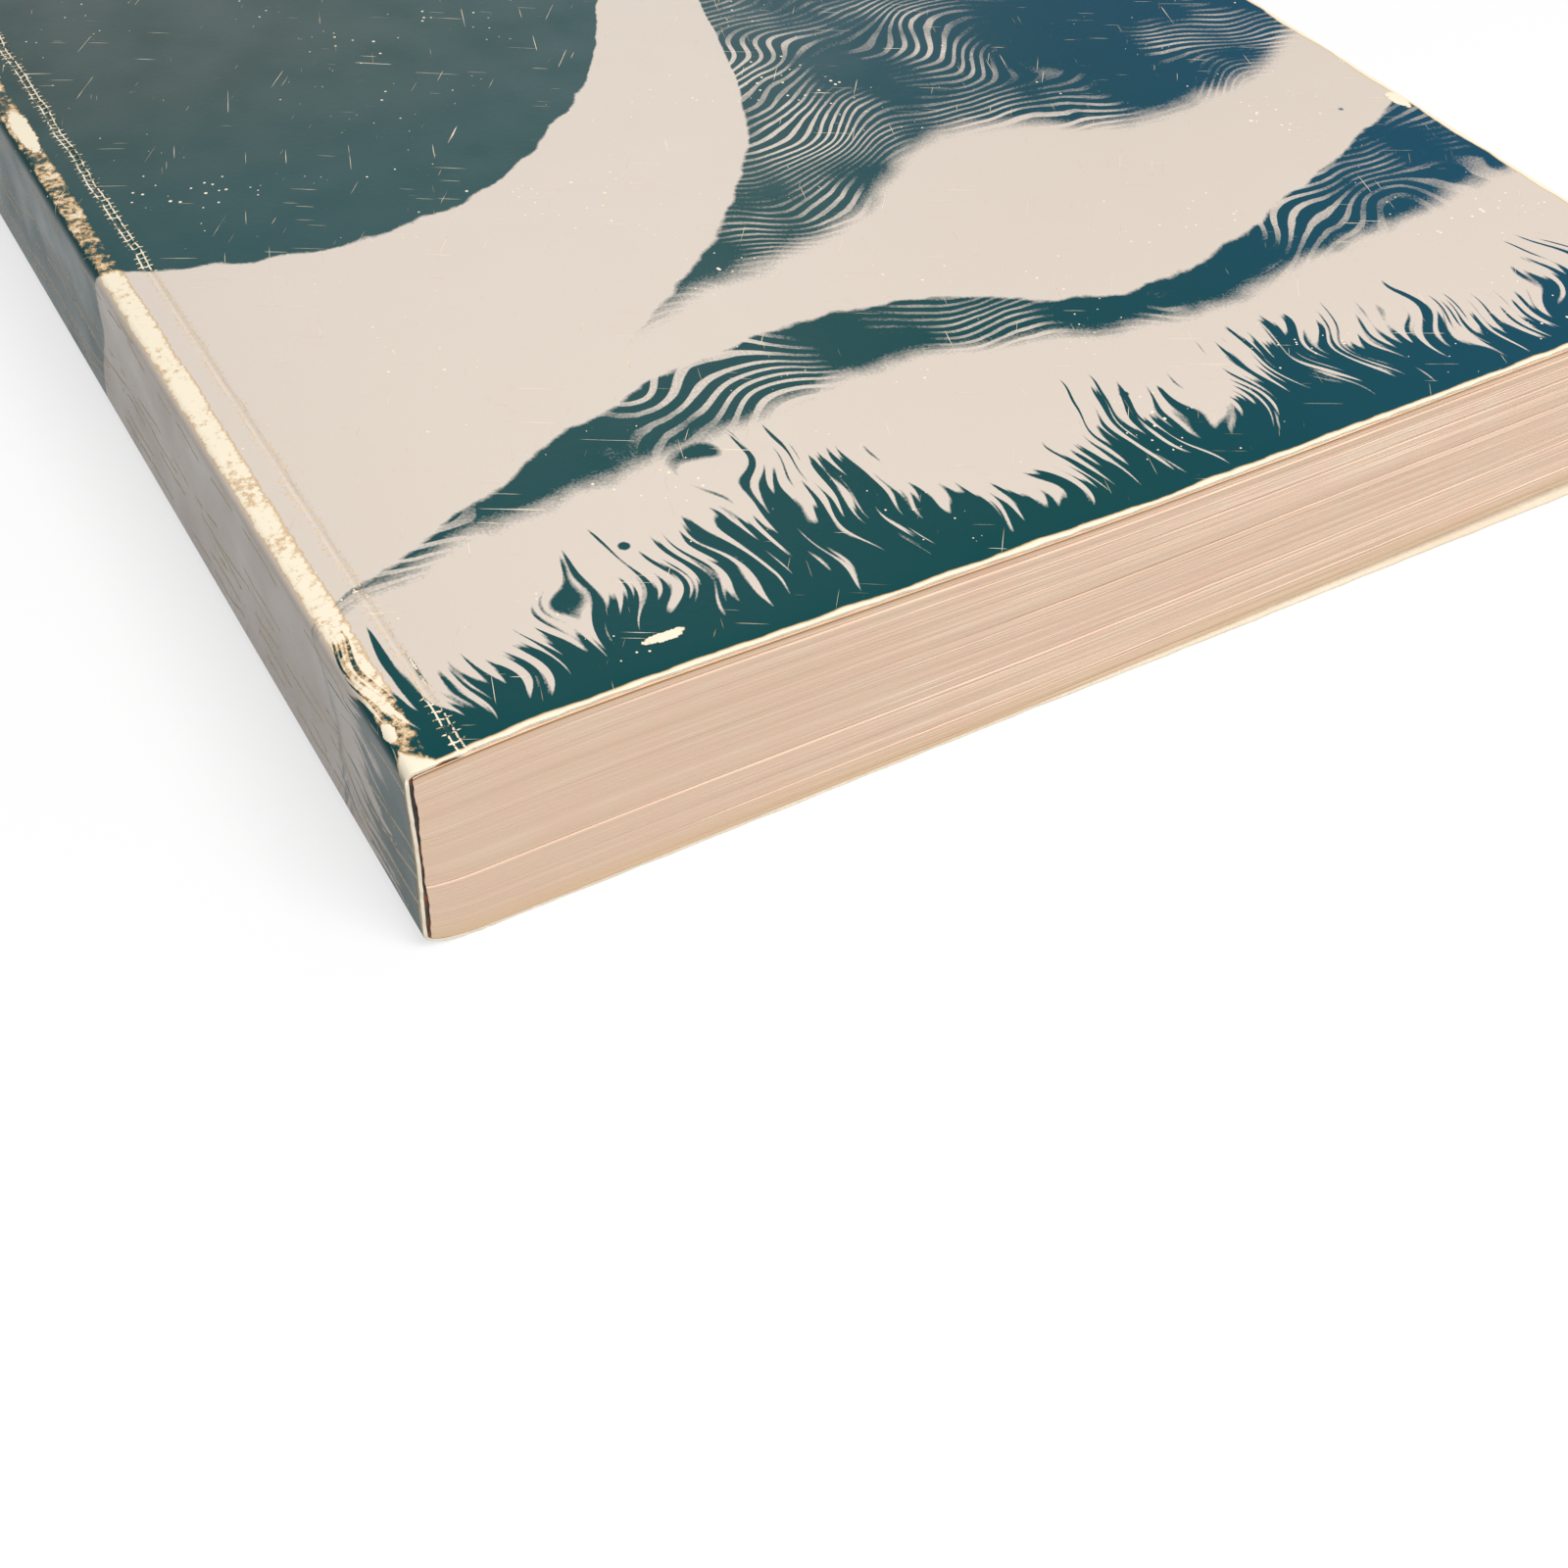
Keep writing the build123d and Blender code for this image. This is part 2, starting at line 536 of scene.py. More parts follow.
    def rubbed_edges(self, n: Nodes, sheet: Any, u: Any, v: Any, ink: Any, scaly: Any) -> Any:
        """The cut edges, the two folds at the spine and the tail corner, where hands and shelves rub, with a
        painted highlight in the band beside the upper fold.

        Args:
            n: The material's nodes.
            sheet: The sheet's coordinates.
            u: Across the sheet.
            v: Up the sheet.
            ink: The strength of the ink.
            scaly: Fine noise that makes the rubbing scaly.

        Returns:
            How far the surface is rubbed, with the painted highlight beside the upper fold.
        """
        broad = n.add("TexNoise", named={"Vector": sheet, "Scale": 0.11, "Detail": 4.0})
        head = n.add("Math", HEIGHT, v, operation="SUBTRACT")
        ends = n.add("Math", v, head, operation="MINIMUM")
        fore = n.add("Math", WIDTH, u, operation="SUBTRACT")
        back_fore = n.add("Math", u, WIDTH + SPINE_TOP, operation="ADD")
        sides = n.add("Math", fore, back_fore, operation="MINIMUM")
        near = n.add("Math", ends, sides, operation="MINIMUM")
        uneven = n.add("Math", broad, 1.6, operation="MULTIPLY")
        near = n.add("Math", near, uneven, operation="SUBTRACT")
        rim = n.add("MapRange", near, 0.5, -0.5, 0.15, 0.85)
        # Painted highlight: this band on the glued strip beside the upper fold is rubbed card, and it is also
        # the gloss catching the light on the curved strip. That is why it is stronger on light print.
        band = n.add("MapRange", self.away(n, u, 1.9), 2.6, 1.0, interpolation_type="SMOOTHSTEP")
        band = n.add("Math", scaly, band, operation="MULTIPLY")
        stretches = n.add("MapRange", broad, 0.3, 0.65, 0.7, 1.25)
        rubbed_and_highlit = n.add("Math", band, stretches, operation="MULTIPLY")
        on_light = n.add("MapRange", ink, 0.0, 1.0, 1.5, 1.0)
        rubbed_and_highlit = n.add("Math", rubbed_and_highlit, on_light, operation="MULTIPLY")
        worn_and_highlit = n.add("Math", rim, rubbed_and_highlit, operation="MAXIMUM")
        lower = n.add("MapRange", self.away(n, u, 1.2 - SPINE_TOP), 1.6, 0.3)
        lower = n.add("Math", lower, n.add("MapRange", scaly, 0.4, 0.65), operation="MULTIPLY")
        worn_and_highlit = n.add("Math", worn_and_highlit, lower, operation="MAXIMUM")
        corner = n.add("Math", v, self.away(n, u, 0.8), operation="ADD")
        ragged = n.add("Math", scaly, 2.0, operation="MULTIPLY")
        corner = n.add("Math", corner, ragged, operation="ADD")
        return n.add("Math", worn_and_highlit, n.add("MapRange", corner, 5.6, 3.6), operation="MAXIMUM")

    def opened_score(self, n: Nodes, sheet: Any, u: Any, ink: Any, scaly: Any) -> Any:
        """The crease where the front cover turns: two rails with rungs, cracked into the film.

        Args:
            n: The material's nodes.
            sheet: The sheet's coordinates.
            u: Across the sheet.
            ink: The strength of the ink.
            scaly: Fine noise that breaks the crease up.

        Returns:
            How far the surface is creased.
        """
        along = n.add("VectorMath", sheet, (0.0, 1.0, 0.0), operation="MULTIPLY")
        sway = n.add("TexNoise", named={"Vector": along, "Scale": 0.12, "Detail": 4.0})
        bend = n.add("MapRange", sway, 0.0, 1.0, HINGE - 0.6, HINGE + 0.9)
        off = self.away(n, u, bend)
        rails = n.add("MapRange", self.away(n, off, 0.42), 0.2, 0.06)
        rungs = n.add("TexWave", named={"Vector": sheet, "Scale": 0.26, "Distortion": 5.0, "Detail": 3.0},
                      out=1, bands_direction="Y")
        rungs = n.add("MapRange", rungs, 0.86, 0.97)
        rungs = n.add("Math", rungs, n.add("MapRange", off, 1.5, 0.7), operation="MULTIPLY")
        crease = n.add("Math", rails, rungs, operation="MAXIMUM")
        crease = n.add("Math", crease, n.add("MapRange", scaly, 0.35, 0.52), operation="MULTIPLY")
        on_dark = n.add("MapRange", ink, 0.0, 1.0, 0.62, 0.85)
        return n.add("Math", crease, on_dark, operation="MULTIPLY")

    def spine_cracks(self, n: Nodes, sheet: Any, u: Any, scaly: Any) -> Any:
        """Long cracks along the spine, where the film has split as the book was opened.

        Args:
            n: The material's nodes.
            sheet: The sheet's coordinates.
            u: Across the sheet.
            scaly: Fine noise that breaks the cracks up.

        Returns:
            How far the surface is cracked.
        """
        cracked = None
        for number, rise in enumerate((5.4, 7.6, 11.4, 13.3, 16.0, 24.8)):
            along = n.add("VectorMath", sheet, (0.0, 1.0, 0.0), operation="MULTIPLY")
            along = n.add("VectorMath", along, (0.0, 0.0, number * 31.0), operation="ADD")
            sway = n.add("TexNoise", named={"Vector": along, "Scale": 0.035, "Detail": 5.0})
            middle = n.add("MapRange", sway, 0.2, 0.8, rise - SPINE_TOP - 2.4, rise - SPINE_TOP + 2.4)
            off = self.away(n, u, middle)
            line = n.add("MapRange", off, 0.34, 0.14)
            breaks = n.add("TexNoise", named={"Vector": along, "Scale": 0.11, "Detail": 4.0})
            line = n.add("Math", line, n.add("MapRange", breaks, 0.44, 0.5), operation="MULTIPLY")
            cracked = line if cracked is None else n.add("Math", cracked, line, operation="MAXIMUM")
        broken = n.add("MapRange", scaly, 0.3, 0.45, 0.4, 0.9)
        return n.add("Math", cracked, broken, operation="MULTIPLY")

    def scratches(self, n: Nodes, sheet: Any) -> Any:
        """Short fine scratches and flecks, more of them in some places than in others.

        Args:
            n: The material's nodes.
            sheet: The sheet's coordinates.

        Returns:
            How far the surface is scratched.
        """
        marks = None
        for angle, rate in ((0.5, 0.69), (-0.9, 0.70), (1.9, 0.705)):
            turned = n.add("Mapping", sheet, named={"Rotation": (0.0, 0.0, angle)})
            drawn = n.add("VectorMath", turned, (0.07, 3.2, 1.0), operation="MULTIPLY")
            noise = n.add("TexNoise", named={"Vector": drawn, "Scale": 1.0, "Detail": 2.0})
            line = n.add("MapRange", noise, rate, rate + 0.05, 0.0, 0.7)
            marks = line if marks is None else n.add("Math", marks, line, operation="MAXIMUM")
        flecks = n.add("TexVoronoi", named={"Vector": sheet, "Scale": 0.6})
        crowd = n.add("TexNoise", named={"Vector": sheet, "Scale": 0.05, "Detail": 4.0})
        size = n.add("MapRange", crowd, 0.42, 0.7, 0.0, 0.2)
        fleck = n.add("Math", size, flecks, operation="SUBTRACT")
        return n.add("Math", marks, n.add("MapRange", fleck, 0.0, 0.03, 0.0, 0.75), operation="MAXIMUM")


@dataclass(frozen=True)
class BareCard:
    """Uncoated side and cut edge of the cover board: matt, cream, with short fibres."""

    colour: str = "f3e4cb"
    fibre: str = "fff6e2"

    def build(self) -> bpy.types.Material:
        """Make the material.

        Returns:
            The finished material.
        """
        n = Nodes("cover_board")
        sheet = n.add("UVMap", uv_map=SHEET_MAP)
        fibres = n.add("TexNoise", named={"Vector": sheet, "Scale": 1.4, "Detail": 6.0, "Distortion": 1.0})
        cloud = n.add("TexNoise", named={"Vector": sheet, "Scale": 0.03, "Detail": 3.0})
        mixed = n.add("Math", fibres, cloud, operation="MULTIPLY")
        colour = n.add("Mix", n.add("MapRange", mixed, 0.12, 0.4),
                       named={6: linear(self.colour), 7: linear(self.fibre)}, out=2, data_type="RGBA")
        bump = n.add("Bump", named={"Height": fibres, "Strength": 0.6, "Distance": 0.05 * MM})
        return n.finish(Base_Color=colour, Roughness=0.85, Normal=bump)


@dataclass(frozen=True)
class BookPaper:
    """Wood-free book paper gone warm with age, cut by guillotine: matt edges with fine pale lines."""

    leaf: str = "efd2b8"
    pale: str = "fbe8d3"
    shade: str = "cfae8e"
    glue_stain_and_shade: str = "a8773a"  # the first leaves: the glue's stain and painted shade from the gap under the front cover
    pink: str = "efc4ae"
    straw: str = "e3c194"  # the last leaves
    leaves: int = 252

    def build(self) -> bpy.types.Material:
        """Make the material.

        Returns:
            The finished material.
        """
        n = Nodes("cut_paper")
        leaf = n.add("UVMap", uv_map=LEAF_MAP)
        along = n.add("SeparateXYZ", leaf)
        number = along.node.outputs[1]
        # Leaves are 0.11 mm apart, too fine to show, so the lines are drawn three or four leaves apart.
        drawn = n.add("VectorMath", leaf, (0.012, 0.30, 1.0), operation="MULTIPLY")
        lines = n.add("TexNoise", named={"Vector": drawn, "Scale": 1.0, "Detail": 4.0, "Roughness": 0.65})
        wide = n.add("VectorMath", leaf, (0.006, 0.05, 1.0), operation="MULTIPLY")
        bands = n.add("TexNoise", named={"Vector": wide, "Scale": 1.0, "Detail": 3.0})
        mottle = n.add("TexNoise", named={"Vector": n.add("VectorMath", leaf, (0.12, 0.014, 1.0),
                       operation="MULTIPLY"), "Scale": 1.0, "Detail": 5.0})
        strong = n.add("MapRange", along, 20.0, 120.0, 0.35, 1.0)
        light = n.add("Math", n.add("MapRange", lines, 0.5, 0.68), strong, operation="MULTIPLY")
        dark = n.add("Math", n.add("MapRange", lines, 0.45, 0.3), strong, operation="MULTIPLY")
        colour = n.add("Mix", light, named={6: linear(self.leaf), 7: linear(self.pale)}, out=2,
                       data_type="RGBA")
        colour = n.add("Mix", n.add("Math", dark, 0.6, operation="MULTIPLY"),
                       named={6: colour, 7: linear(self.shade)}, out=2, data_type="RGBA")
        colour = n.add("Mix", n.add("MapRange", bands, 0.35, 0.7, 0.0, 0.35),
                       named={6: colour, 7: linear(self.shade)}, out=2, data_type="RGBA")
        colour = n.add("Mix", n.add("MapRange", mottle, 0.4, 0.75, 0.0, 0.45),
                       named={6: colour, 7: linear(self.pink)}, out=2, data_type="RGBA")
        # Painted shade: the leaves just under the front cover turn tan, for the glue's stain and for the
        # shade in the gap between card and leaves.
        stain_and_shade = n.add("MapRange", number, self.leaves - 4.0, self.leaves - 2.0, 0.0, 0.85)
        # The open face of the first leaf carries the last number, and it stays plain paper.
        cut_edge = n.add("MapRange", number, self.leaves - 0.05, self.leaves - 0.4)
        stain_and_shade = n.add("Math", stain_and_shade, cut_edge, operation="MULTIPLY")
        colour = n.add("Mix", stain_and_shade, named={6: colour, 7: linear(self.glue_stain_and_shade)}, out=2, data_type="RGBA")
        foot = n.add("Math", n.add("MapRange", number, 26.0, 4.0, 0.0, 0.5),
                     n.add("MapRange", number, 0.05, 0.4), operation="MULTIPLY")
        colour = n.add("Mix", foot, named={6: colour, 7: linear(self.straw)}, out=2, data_type="RGBA")
        height = n.add("Math", lines, strong, operation="MULTIPLY")
        bump = n.add("Bump", named={"Height": height, "Strength": 0.7, "Distance": 0.12 * MM})
        return n.finish(Base_Color=colour, Roughness=0.88, Normal=bump)


@dataclass(frozen=True)
class HotMelt:
    """Hot-melt binding glue, run on as a liquid and browned with age: a dark, slightly glossy line."""

    dark: str = "1d0f08"
    amber: str = "8a4a14"

    def build(self) -> bpy.types.Material:
        """Make the material.

        Returns:
            The finished material.
        """
        n = Nodes("binding_glue")
        place = n.add("TexCoord", out=3)
        blots = n.add("TexNoise", named={"Vector": place, "Scale": 260.0, "Detail": 4.0})
        colour = n.add("Mix", n.add("MapRange", blots, 0.48, 0.7),
                       named={6: linear(self.dark), 7: linear(self.amber)}, out=2, data_type="RGBA")
        bump = n.add("Bump", named={"Height": blots, "Strength": 0.6, "Distance": 0.1 * MM})
        return n.finish(Base_Color=colour, Roughness=0.5, Normal=bump)


# ---------------------------------------------------------------- the book


@dataclass
class Cover:
    """The cover sheet in its two parts, which meet on the glued strip under the book."""

    seam: float = 3.2  # where the two parts meet, from the spine
    under_run: float = 7.5  # how far the worn lower fold reaches under the book
    under_rise: float = 2.6  # and how far up the spine
    fold_radius: float = 1.4  # of the upper fold
    hollow: float = 0.2  # how far the middle of the spine has sunk
    groove: float = 0.12  # depth of the opened score
    bend: float = 1.2  # width of the stretch that turns as a cover opens
    corner: float = 1.2  # radius of the worn corners
    fray_reach: float = 0.35  # how far in the cut edges have frayed

    def under_height(self, x: np.ndarray) -> np.ndarray:
        """Height of the outer face under the book at each distance from the spine."""
        share = np.clip((self.under_run - x) / self.under_run, 0, 1)
        return self.under_rise * (1 - np.sqrt(1 - share**2))

    def front_section(self) -> tuple[np.ndarray, np.ndarray]:
        """Points of the outer face from the seam, round the spine, to the fore-edge.

        Returns:
            Distances from the spine, and heights.
        """
        first = math.asin(1 - self.seam / self.under_run)
        turn = np.linspace(first, math.pi / 2, 14)
        low_x = self.under_run * (1 - np.sin(turn))
        low_z = self.under_rise * (1 - np.cos(turn))
        rise = np.linspace(self.under_rise, SPINE_TOP - self.fold_radius, 32)[1:]
        share = (rise - rise[0]) / (rise[-1] - rise[0])
        fold = np.linspace(0, math.pi / 2, 9)[1:]
        fold_x = self.fold_radius * (1 - np.cos(fold))
        fold_z = SPINE_TOP - self.fold_radius * (1 - np.sin(fold))
        strip = np.linspace(self.fold_radius, HINGE - 0.4, 6)[1:]
        strip_z = SPINE_TOP + (strip - self.fold_radius) / (HINGE - self.fold_radius) * STRIP_RISE
        hinge = np.arange(HINGE - 0.25, HINGE + self.bend + 0.4, 0.15)
        free = np.linspace(hinge[-1], WIDTH - 1.0, 104)[1:]
        rim = np.array([WIDTH - 0.6, WIDTH - 0.3, WIDTH - 0.1, WIDTH])
        far = np.concatenate([hinge, free, rim])
        far_z = front_height(far) - self.groove * np.exp(-(((far - HINGE - 0.15) / 0.35) ** 2))
        x = np.concatenate([low_x, self.hollow * np.sin(math.pi * share) ** 2, fold_x, strip, far])
        return x, np.concatenate([low_z, rise, fold_z, strip_z, far_z])

    def back_section(self) -> tuple[np.ndarray, np.ndarray]:
        """Points of the outer face under the book, from the fore-edge to the seam.

        Returns:
            Distances from the spine, and heights.
        """
        rim = np.array([WIDTH, WIDTH - 0.1, WIDTH - 0.3, WIDTH - 0.6])
        free = np.linspace(WIDTH - 1.0, HINGE + self.bend + 0.4, 60)
        hinge = np.arange(HINGE + self.bend + 0.25, HINGE - 0.3, -0.15)
        strip = np.linspace(HINGE - 0.5, self.seam, 8)
        x = np.concatenate([rim, free, hinge, strip])
        return x, self.under_height(x)

    def stations(self) -> np.ndarray:
        """Distances from the tail of the rows of vertices, close together at tail and head."""
        ends = np.array([0, 0.1, 0.25, 0.45, 0.7, 1.0, 1.4, 1.9, 2.6, 3.5])
        return np.concatenate([ends, np.linspace(5, HEIGHT - 5, 104), HEIGHT - ends[::-1]])

    def wear_down(
        self, side: Side, x: np.ndarray, y: np.ndarray, z: np.ndarray
    ) -> tuple[np.ndarray, np.ndarray, np.ndarray]:
        """Fray the cut edges, round the free corners and press the front's edges down.

        Args:
            side: Which part.
            x: Distances from the spine.
            y: Distances from the tail.
            z: Heights.

        Returns:
            The three with the wear.
        """
        end = np.minimum(y, HEIGHT - y)
        plain = np.clip((np.hypot(WIDTH - x, end) - 2 * self.corner) / 3, 0, 1)  # 0 at the free corners
        uneven = plain * wobble(x + z * 1.3, 5.0, 3 if side is Side.FRONT else 4)
        frayed = np.exp(-end / self.fray_reach) * (0.2 + 0.1 * uneven)
        y = y + np.where(y < HEIGHT / 2, 1, -1) * frayed
        edge = np.exp(-(WIDTH - x) / self.fray_reach) * (0.15 + 0.08 * plain * wobble(y, 6.0, 5))
        inset = np.clip(self.corner - end, 0, 0.9 * self.corner)
        rounded = self.corner - np.sqrt(np.clip(self.corner**2 - inset**2, 0, None))
        pull = np.clip(1 - (WIDTH - x) / (3 * self.corner), 0, 1)
        x = x - np.where(x > HINGE + 2, edge + rounded * pull, 0)
        if side is Side.FRONT:
            pressed = np.exp(-end / 1.2) * (0.14 + 0.08 * wobble(x, 7.0, 6))
            z = z - np.where(z > SPINE_TOP / 2, pressed, 0) * (x > 0.3)
        return x, y, z

    def build(self, side: Side, dress: Sequence[bpy.types.Material]) -> bpy.types.Object:
        """Make one part of the cover.

        Args:
            side: Which part.
            dress: The printed face's material and the bare card's.

        Returns:
            The finished piece.
        """
        section_x, section_z = self.front_section() if side is Side.FRONT else self.back_section()
        stations = self.stations()
        piece = new_grid(side.value, len(section_x) - 1, len(stations) - 1)
        across, along = grid_places(piece)
        column = np.rint(across * (len(section_x) - 1)).astype(int)
        x, z = section_x[column], section_z[column]
        y = stations[np.rint(along * (len(stations) - 1)).astype(int)]
        over_fold = x - np.clip(SPINE_TOP - z, 0, None) * (x < 2)
        u = np.where(z > SPINE_TOP / 2, over_fold, z - SPINE_TOP - x)
        write_map(piece, SHEET_MAP, u, y)
        place_vertices(piece, *self.wear_down(side, x, y, z))
        for material in dress:
            piece.data.materials.append(material)
        apply_solidify(piece, CARD, 1)
        bpy.ops.object.shade_smooth_by_angle(angle=math.radians(50))
        nodes = ["spine_cover", "front_cover"] if side is Side.FRONT else ["back_cover"]
        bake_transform(piece)
        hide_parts(*nodes)
        return piece


# Where the leaves have parted: share of the leaves below it, depth, and where it begins from the spine
PARTINGS = [(0.34, 0.5, 0.0), (0.12, 0.28, 20.0), (0.955, 0.55, 16.0), (0.62, 0.2, 60.0), (0.80, 0.22, 80.0)]


@dataclass
class LeafBlock:
    """The leaves, glued at the spine and cut flush on the other three sides."""

    cover: Cover
    paper: BookPaper
    glue: float = 0.5  # between the card and the backs of the leaves
    gap: float = 0.26  # between the card and the first and last leaf
    columns: int = 56  # faces from the spine to the fore-edge
    steps: int = 24  # and from the tail to the head
    trim: float = 0.1  # how far the cut leaves end inside the cover
    lift_start: float = 70.0  # where the last leaves rise off the back cover
    lift_slope: float = 0.0262
    lift_turn: float = 12.0  # length of the turn into that slope

    def top(self, x: np.ndarray) -> np.ndarray:
        """Find the height of the first leaf.

        Args:
            x: Distances from the spine.

        Returns:
            One height for each distance.
        """
        radius = self.cover.fold_radius
        strip = SPINE_TOP + np.clip((x - radius) / (HINGE - radius), 0, 1) * STRIP_RISE
        fold = radius - np.sqrt(np.clip(radius**2 - np.clip(radius - x, 0, radius) ** 2, 0, None))
        return np.where(x < HINGE, strip - fold, front_height(x)) - CARD - self.gap

    def foot(self, x: np.ndarray) -> np.ndarray:
        """Find the height of the last leaf.

        Args:
            x: Distances from the spine.

        Returns:
            One height for each distance.
        """
        past = np.clip(x - self.lift_start, 0, None)
        lift = self.lift_slope * past**2 / (past + self.lift_turn)
        return self.cover.under_height(x) + CARD + self.gap + lift

    def depth(self, rows: np.ndarray, along: np.ndarray, from_spine: np.ndarray, seed: int) -> np.ndarray:
        """How far each leaf's edge lies in from the cut, in millimetres.

        Args:
            rows: The leaf's number.
            along: Distance along the edge.
            from_spine: Distance from the spine.
            seed: Chooses the unevenness.

        Returns:
            One depth for each place.
        """
        rng = np.random.default_rng(seed)
        total = self.paper.leaves
        each = rng.gamma(1.6, 0.016, total + 1)
        groups = np.repeat(rng.uniform(0, 0.07, total // 8 + 2), 8)[: total + 1]
        number = np.clip(np.rint(rows).astype(int), 0, total)
        spread = np.clip((from_spine - 8) / 70, 0.25, 1)
        depth = (each + groups)[number] * spread * (1 + 0.35 * wobble(along + number * 3.7, 60.0, seed + 1))
        for share, deep, begins in PARTINGS:
            near = np.exp(-(((number - share * total) / 0.8) ** 2))
            opened = np.clip((from_spine - begins) / 30, 0, 1) if begins else 1.0
            depth = depth + near * deep * opened * (0.75 + 0.5 * wobble(along, 35.0, int(share * 1000)))
        return np.clip(depth, 0, 1.0)

    def build(self) -> bpy.types.Object:
        """Make the block.

        Returns:
            The finished piece.
        """
        total = self.paper.leaves
        piece = new_grid("leaves", self.columns, total)
        bpy.ops.object.mode_set(mode="EDIT")
        bpy.ops.transform.rotate(value=-math.pi / 2, orient_axis="X", center_override=(0, 0, 0))
        bpy.ops.object.mode_set(mode="OBJECT")
        low = min(v.co.z for v in piece.data.vertices)
        if low > -0.5:
            raise ValueError("the leaf grid did not stand up")
        bpy.ops.object.mode_set(mode="EDIT")
        for _ in range(self.steps):
            bpy.ops.mesh.extrude_region_move(TRANSFORM_OT_translate={"value": (0, 2 / self.steps, 0)})
        bpy.ops.mesh.select_all(action="SELECT")
        bpy.ops.mesh.normals_make_consistent(inside=False)
        bpy.ops.object.mode_set(mode="OBJECT")
        co = np.empty(len(piece.data.vertices) * 3, np.float32)
        piece.data.vertices.foreach_get("co", co)
        grid = co.reshape(-1, 3).astype(float)
        c = (grid[:, 0] + 1) / 2
        step = grid[:, 1] - grid[:, 1].min()
        step = step / step.max()
        rows = (grid[:, 2] + 1) / 2 * total
        spread = c**1.35  # closer columns towards the spine
        start = CARD + self.glue + 0.12 * wobble(rows * 0.11, 14.0, 21)
        x = start + (WIDTH - 1.5 * self.trim - start) * spread
        y = self.trim + (HEIGHT - 2 * self.trim) * step
        share = rows / total
        foot, top = self.foot(x), self.top(x)
        z = foot + (top - foot) * share
        tail, head, fore = step < 1e-4, step > 1 - 1e-4, c > 1 - 1e-4
        y = y + np.where(tail, self.depth(rows, x, x, 11), 0) - np.where(head, self.depth(rows, x, x, 12), 0)
        x = x - np.where(fore, self.depth(rows, y, np.full_like(x, WIDTH), 13), 0)
        place_vertices(piece, x, y, z)
        write_map(piece, LEAF_MAP, np.where(fore & ~tail & ~head, y + WIDTH, x), rows)
        piece.data.materials.append(self.paper.build())
        bpy.ops.object.shade_smooth_by_angle(angle=math.radians(35))
        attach(piece, "book_block")
        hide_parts("text_block")
        return piece


@dataclass
class GlueLayer:
    """The glue between the backs of the leaves and the card, and under the two glued strips."""

    cover: Cover
    thickness: float = 0.62
    clearance: float = 0.01  # to the card's inner face
    strip_end: float = 0.3  # how far the glued strip ends before the hinge
    recess: float = 0.3  # the glue ends short of the cut at tail and head

    def build(self, material: bpy.types.Material) -> bpy.types.Object:
        """Make the layer.

        Args:
            material: The glue.

        Returns:
            The finished piece.
        """
        x, z = self.cover.front_section()
        kept = x < HINGE - self.strip_end
        x, z = x[kept], z[kept]
        way_x, way_z = np.gradient(x), np.gradient(z)
        length = np.hypot(way_x, way_z)
        inset = CARD + self.clearance
        x, z = x + way_z / length * inset, z - way_x / length * inset
        piece = new_grid("glue", len(x) - 1, 40)
        c, r = grid_places(piece)
        column = np.rint(c * (len(x) - 1)).astype(int)
        y = self.recess + (HEIGHT - 2 * self.recess) * r
        y = y + np.where(r < 0.001, 0.12, 0) * wobble(z[column], 6.0, 8)
        place_vertices(piece, x[column], y, z[column])
        apply_solidify(piece, self.thickness, 0)
        piece.data.materials.append(material)
        bpy.ops.object.shade_smooth_by_angle(angle=math.radians(50))
        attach(piece, "book_block")
        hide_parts("spine_adhesive")
        return piece


# ---------------------------------------------------------------- the setting


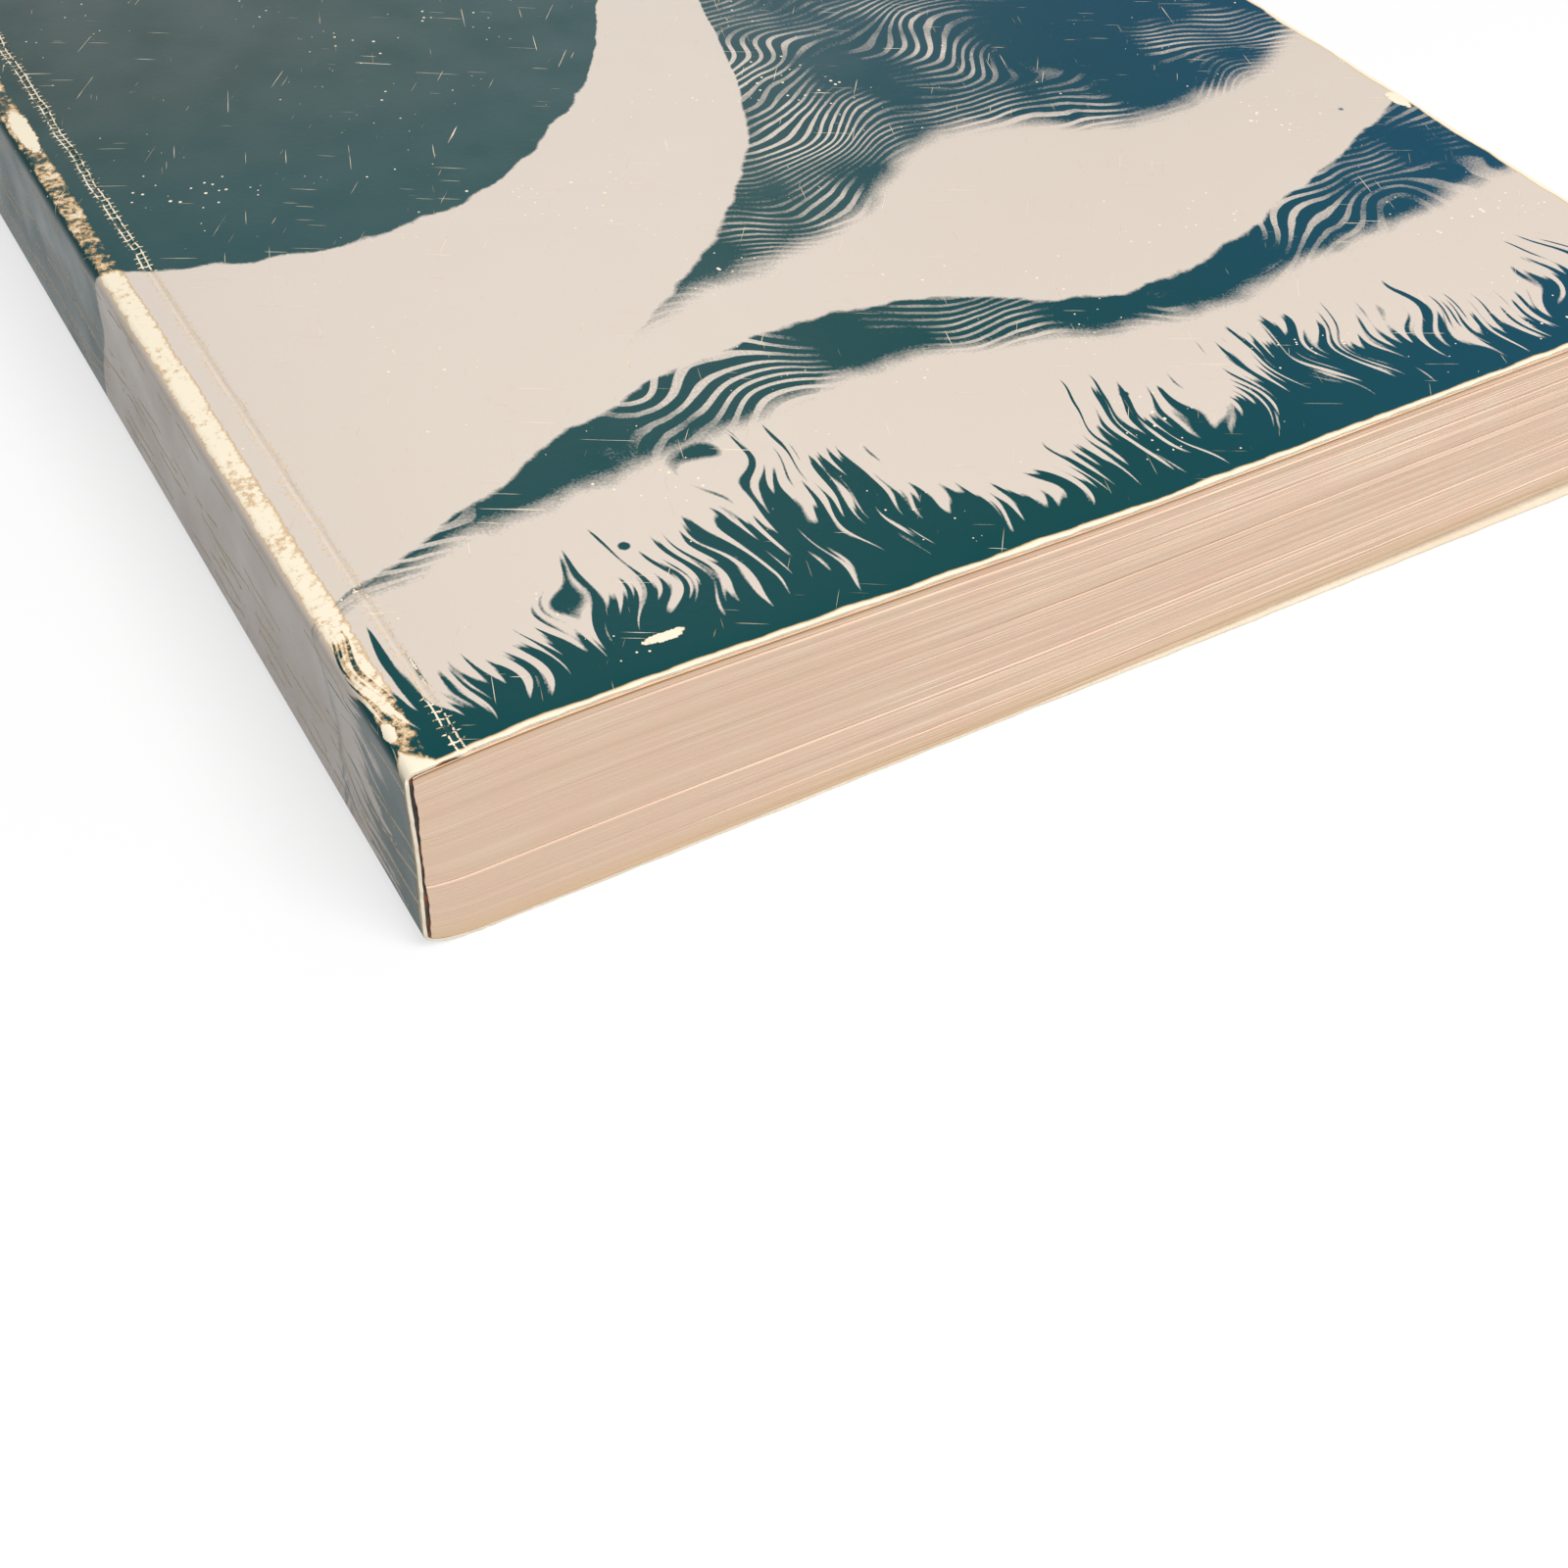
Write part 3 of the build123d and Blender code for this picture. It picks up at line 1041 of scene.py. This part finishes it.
@dataclass
class Studio:
    """A white floor, soft lamps and the camera."""

    azimuth: float = -34.28
    elevation: float = 46.50
    roll: float = 4.78
    lens: float = 43.83
    camera_place: tuple[float, float, float] = (-136.24, -243.72, 165.69)  # from the origin
    key_level: float = 0.98
    fill_level: float = 0.22
    sheen_level: float = 0.12
    floor_size: float = 12.0  # metres
    floor_bounce: float = 0.35  # share of the light that the floor throws back at the book
    floor_glow: float = 0.72  # share of plain white in what the camera sees of the floor

    def lamp(self, name: str, way: Vector, distance: float, size: float, level: float) -> None:
        """Add a soft square lamp that lights a facing white card at a level.

        Args:
            name: The lamp's name.
            way: Direction from the book to the lamp.
            distance: In metres.
            size: Side of the lamp, in metres.
            level: 1 renders a white card white.
        """
        data = bpy.data.lights.new(name, "AREA")
        data.size = size
        data.energy = level * math.pi**2 * distance**2
        lamp = bpy.data.objects.new(name, data)
        lamp.location = way.normalized() * distance
        lamp.rotation_euler = way.to_track_quat("Z", "Y").to_euler()
        bpy.context.scene.collection.objects.link(lamp)

    def camera(self) -> None:
        """Add the camera."""
        turn, lift, roll = (math.radians(a) for a in (self.azimuth, self.elevation, self.roll))
        back = Vector((math.sin(turn) * math.cos(lift), -math.cos(turn) * math.cos(lift), math.sin(lift)))
        right = (-back).cross(Vector((0, 0, 1))).normalized()
        up = right.cross(-back)
        side = math.cos(roll) * right + math.sin(roll) * up
        top = -math.sin(roll) * right + math.cos(roll) * up
        data = bpy.data.cameras.new("camera")
        data.lens = self.lens
        data.sensor_width = 36
        data.clip_start = 0.01
        camera = bpy.data.objects.new("camera", data)
        matrix = Matrix((side, top, back)).transposed().to_4x4()
        matrix.translation = Vector(self.camera_place) * MM
        camera.matrix_world = matrix
        bpy.context.scene.collection.objects.link(camera)
        bpy.context.scene.camera = camera

    def floor(self) -> None:
        """Add the floor, which stays white to the eye and keeps the book's shadow."""
        bpy.ops.object.select_all(action="DESELECT")
        bpy.ops.mesh.primitive_grid_add(x_subdivisions=4, y_subdivisions=4, size=self.floor_size)
        floor = bpy.context.object
        floor.name = "floor"
        n = Nodes("white_floor")
        path = n.add("LightPath")
        seen = n.add("Math", path, path.node.outputs["Is Glossy Ray"], operation="ADD", use_clamp=True)
        seen = n.add("Math", seen, path.node.outputs["Is Transmission Ray"], operation="ADD", use_clamp=True)
        plain = n.add("BsdfDiffuse", (*[self.floor_bounce] * 3, 1.0))
        white = n.add("BsdfDiffuse", (1.0, 1.0, 1.0, 1.0))
        glow = n.add("Emission", (1.0, 1.0, 1.0, 1.0), 1.0)
        shown = n.add("MixShader", self.floor_glow, white, glow)
        mixed = n.add("MixShader", seen, plain, shown)
        n.tree.links.new(mixed, n.tree.nodes["Material Output"].inputs[0])
        n.tree.nodes.remove(n.shader)
        floor.data.materials.append(n.material)

    def world(self) -> None:
        """Light the book evenly from all round, and show white behind it."""
        world = bpy.data.worlds.new("studio")
        world.use_nodes = True
        bpy.context.scene.world = world
        tree = world.node_tree
        path = tree.nodes.new("ShaderNodeLightPath")
        level = tree.nodes.new("ShaderNodeMapRange")
        level.inputs["To Min"].default_value = self.fill_level
        level.inputs["To Max"].default_value = 1.0
        tree.links.new(path.outputs["Is Camera Ray"], level.inputs["Value"])
        background = tree.nodes["Background"]
        background.inputs["Color"].default_value = (1.0, 1.0, 1.0, 1.0)
        tree.links.new(level.outputs["Result"], background.inputs["Strength"])

    def build(self) -> None:
        """Set up the floor, the light and the camera."""
        self.floor()
        self.world()
        self.lamp("key", Vector((0.12, -0.60, 0.79)), 1.3, 0.7, self.key_level)
        self.lamp("sheen", Vector((0.25, 0.85, 0.42)), 1.4, 0.9, self.sheen_level)
        self.camera()
        bpy.context.scene.view_settings.view_transform = "Standard"


def main() -> None:
    """Build the book and its setting, and report each piece."""
    logging.basicConfig(level=logging.INFO, format="%(name)s: %(message)s")
    cover = Cover()
    dress = [PrintedLaminate().build(), BareCard().build()]
    pieces = [cover.build(side, dress) for side in Side]
    pieces.append(LeafBlock(cover, BookPaper()).build())
    pieces.append(GlueLayer(cover).build(HotMelt().build()))
    for piece in pieces:
        log.info("%s: %d faces", piece.name, len(piece.data.polygons))
    Studio().build()


if __name__ == "__main__":
    main()
